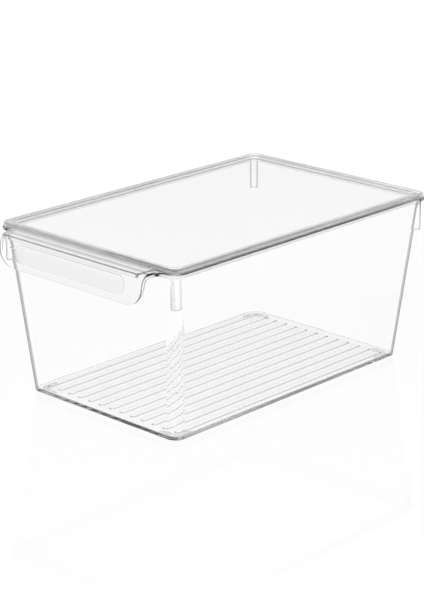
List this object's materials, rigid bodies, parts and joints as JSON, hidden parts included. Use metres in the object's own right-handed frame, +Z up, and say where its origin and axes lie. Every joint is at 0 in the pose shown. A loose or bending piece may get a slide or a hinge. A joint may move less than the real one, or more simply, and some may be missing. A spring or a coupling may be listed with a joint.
{
  "type": "fridge bin",
  "caption": "Clear plastic refrigerator storage bin with flared walls, ribbed floor, rim handle, nesting stops, corner feet and a lift-off lid.",
  "frame": {"origin": "bottom centre of the whole object's box, handle included, at the level the feet stand on", "axes": "+Z up, +Y along the bin away from the handle, +X across the bin to the right when the handle faces the viewer"},
  "size_m": [0.206, 0.3346, 0.152],
  "materials": {
    "clear_plastic": "polished colourless transparent moulding",
    "clear_lid": "polished colourless transparent moulding",
    "foot_rubber": "translucent soft anti-slip rubber, satin"
  },
  "bodies": {
    "bin": {"bin_body": "clear_plastic", "foot_front_left": "foot_rubber", "foot_front_right": "foot_rubber", "foot_rear_left": "foot_rubber", "foot_rear_right": "foot_rubber"},
    "lid": {"lid": "clear_lid"}
  },
  "joints": [
    {"name": "lid_lift", "type": "slide", "parent": "bin", "child": "lid", "axis": [0, 0, 1], "range_m": [0, 0.1]}
  ]
}
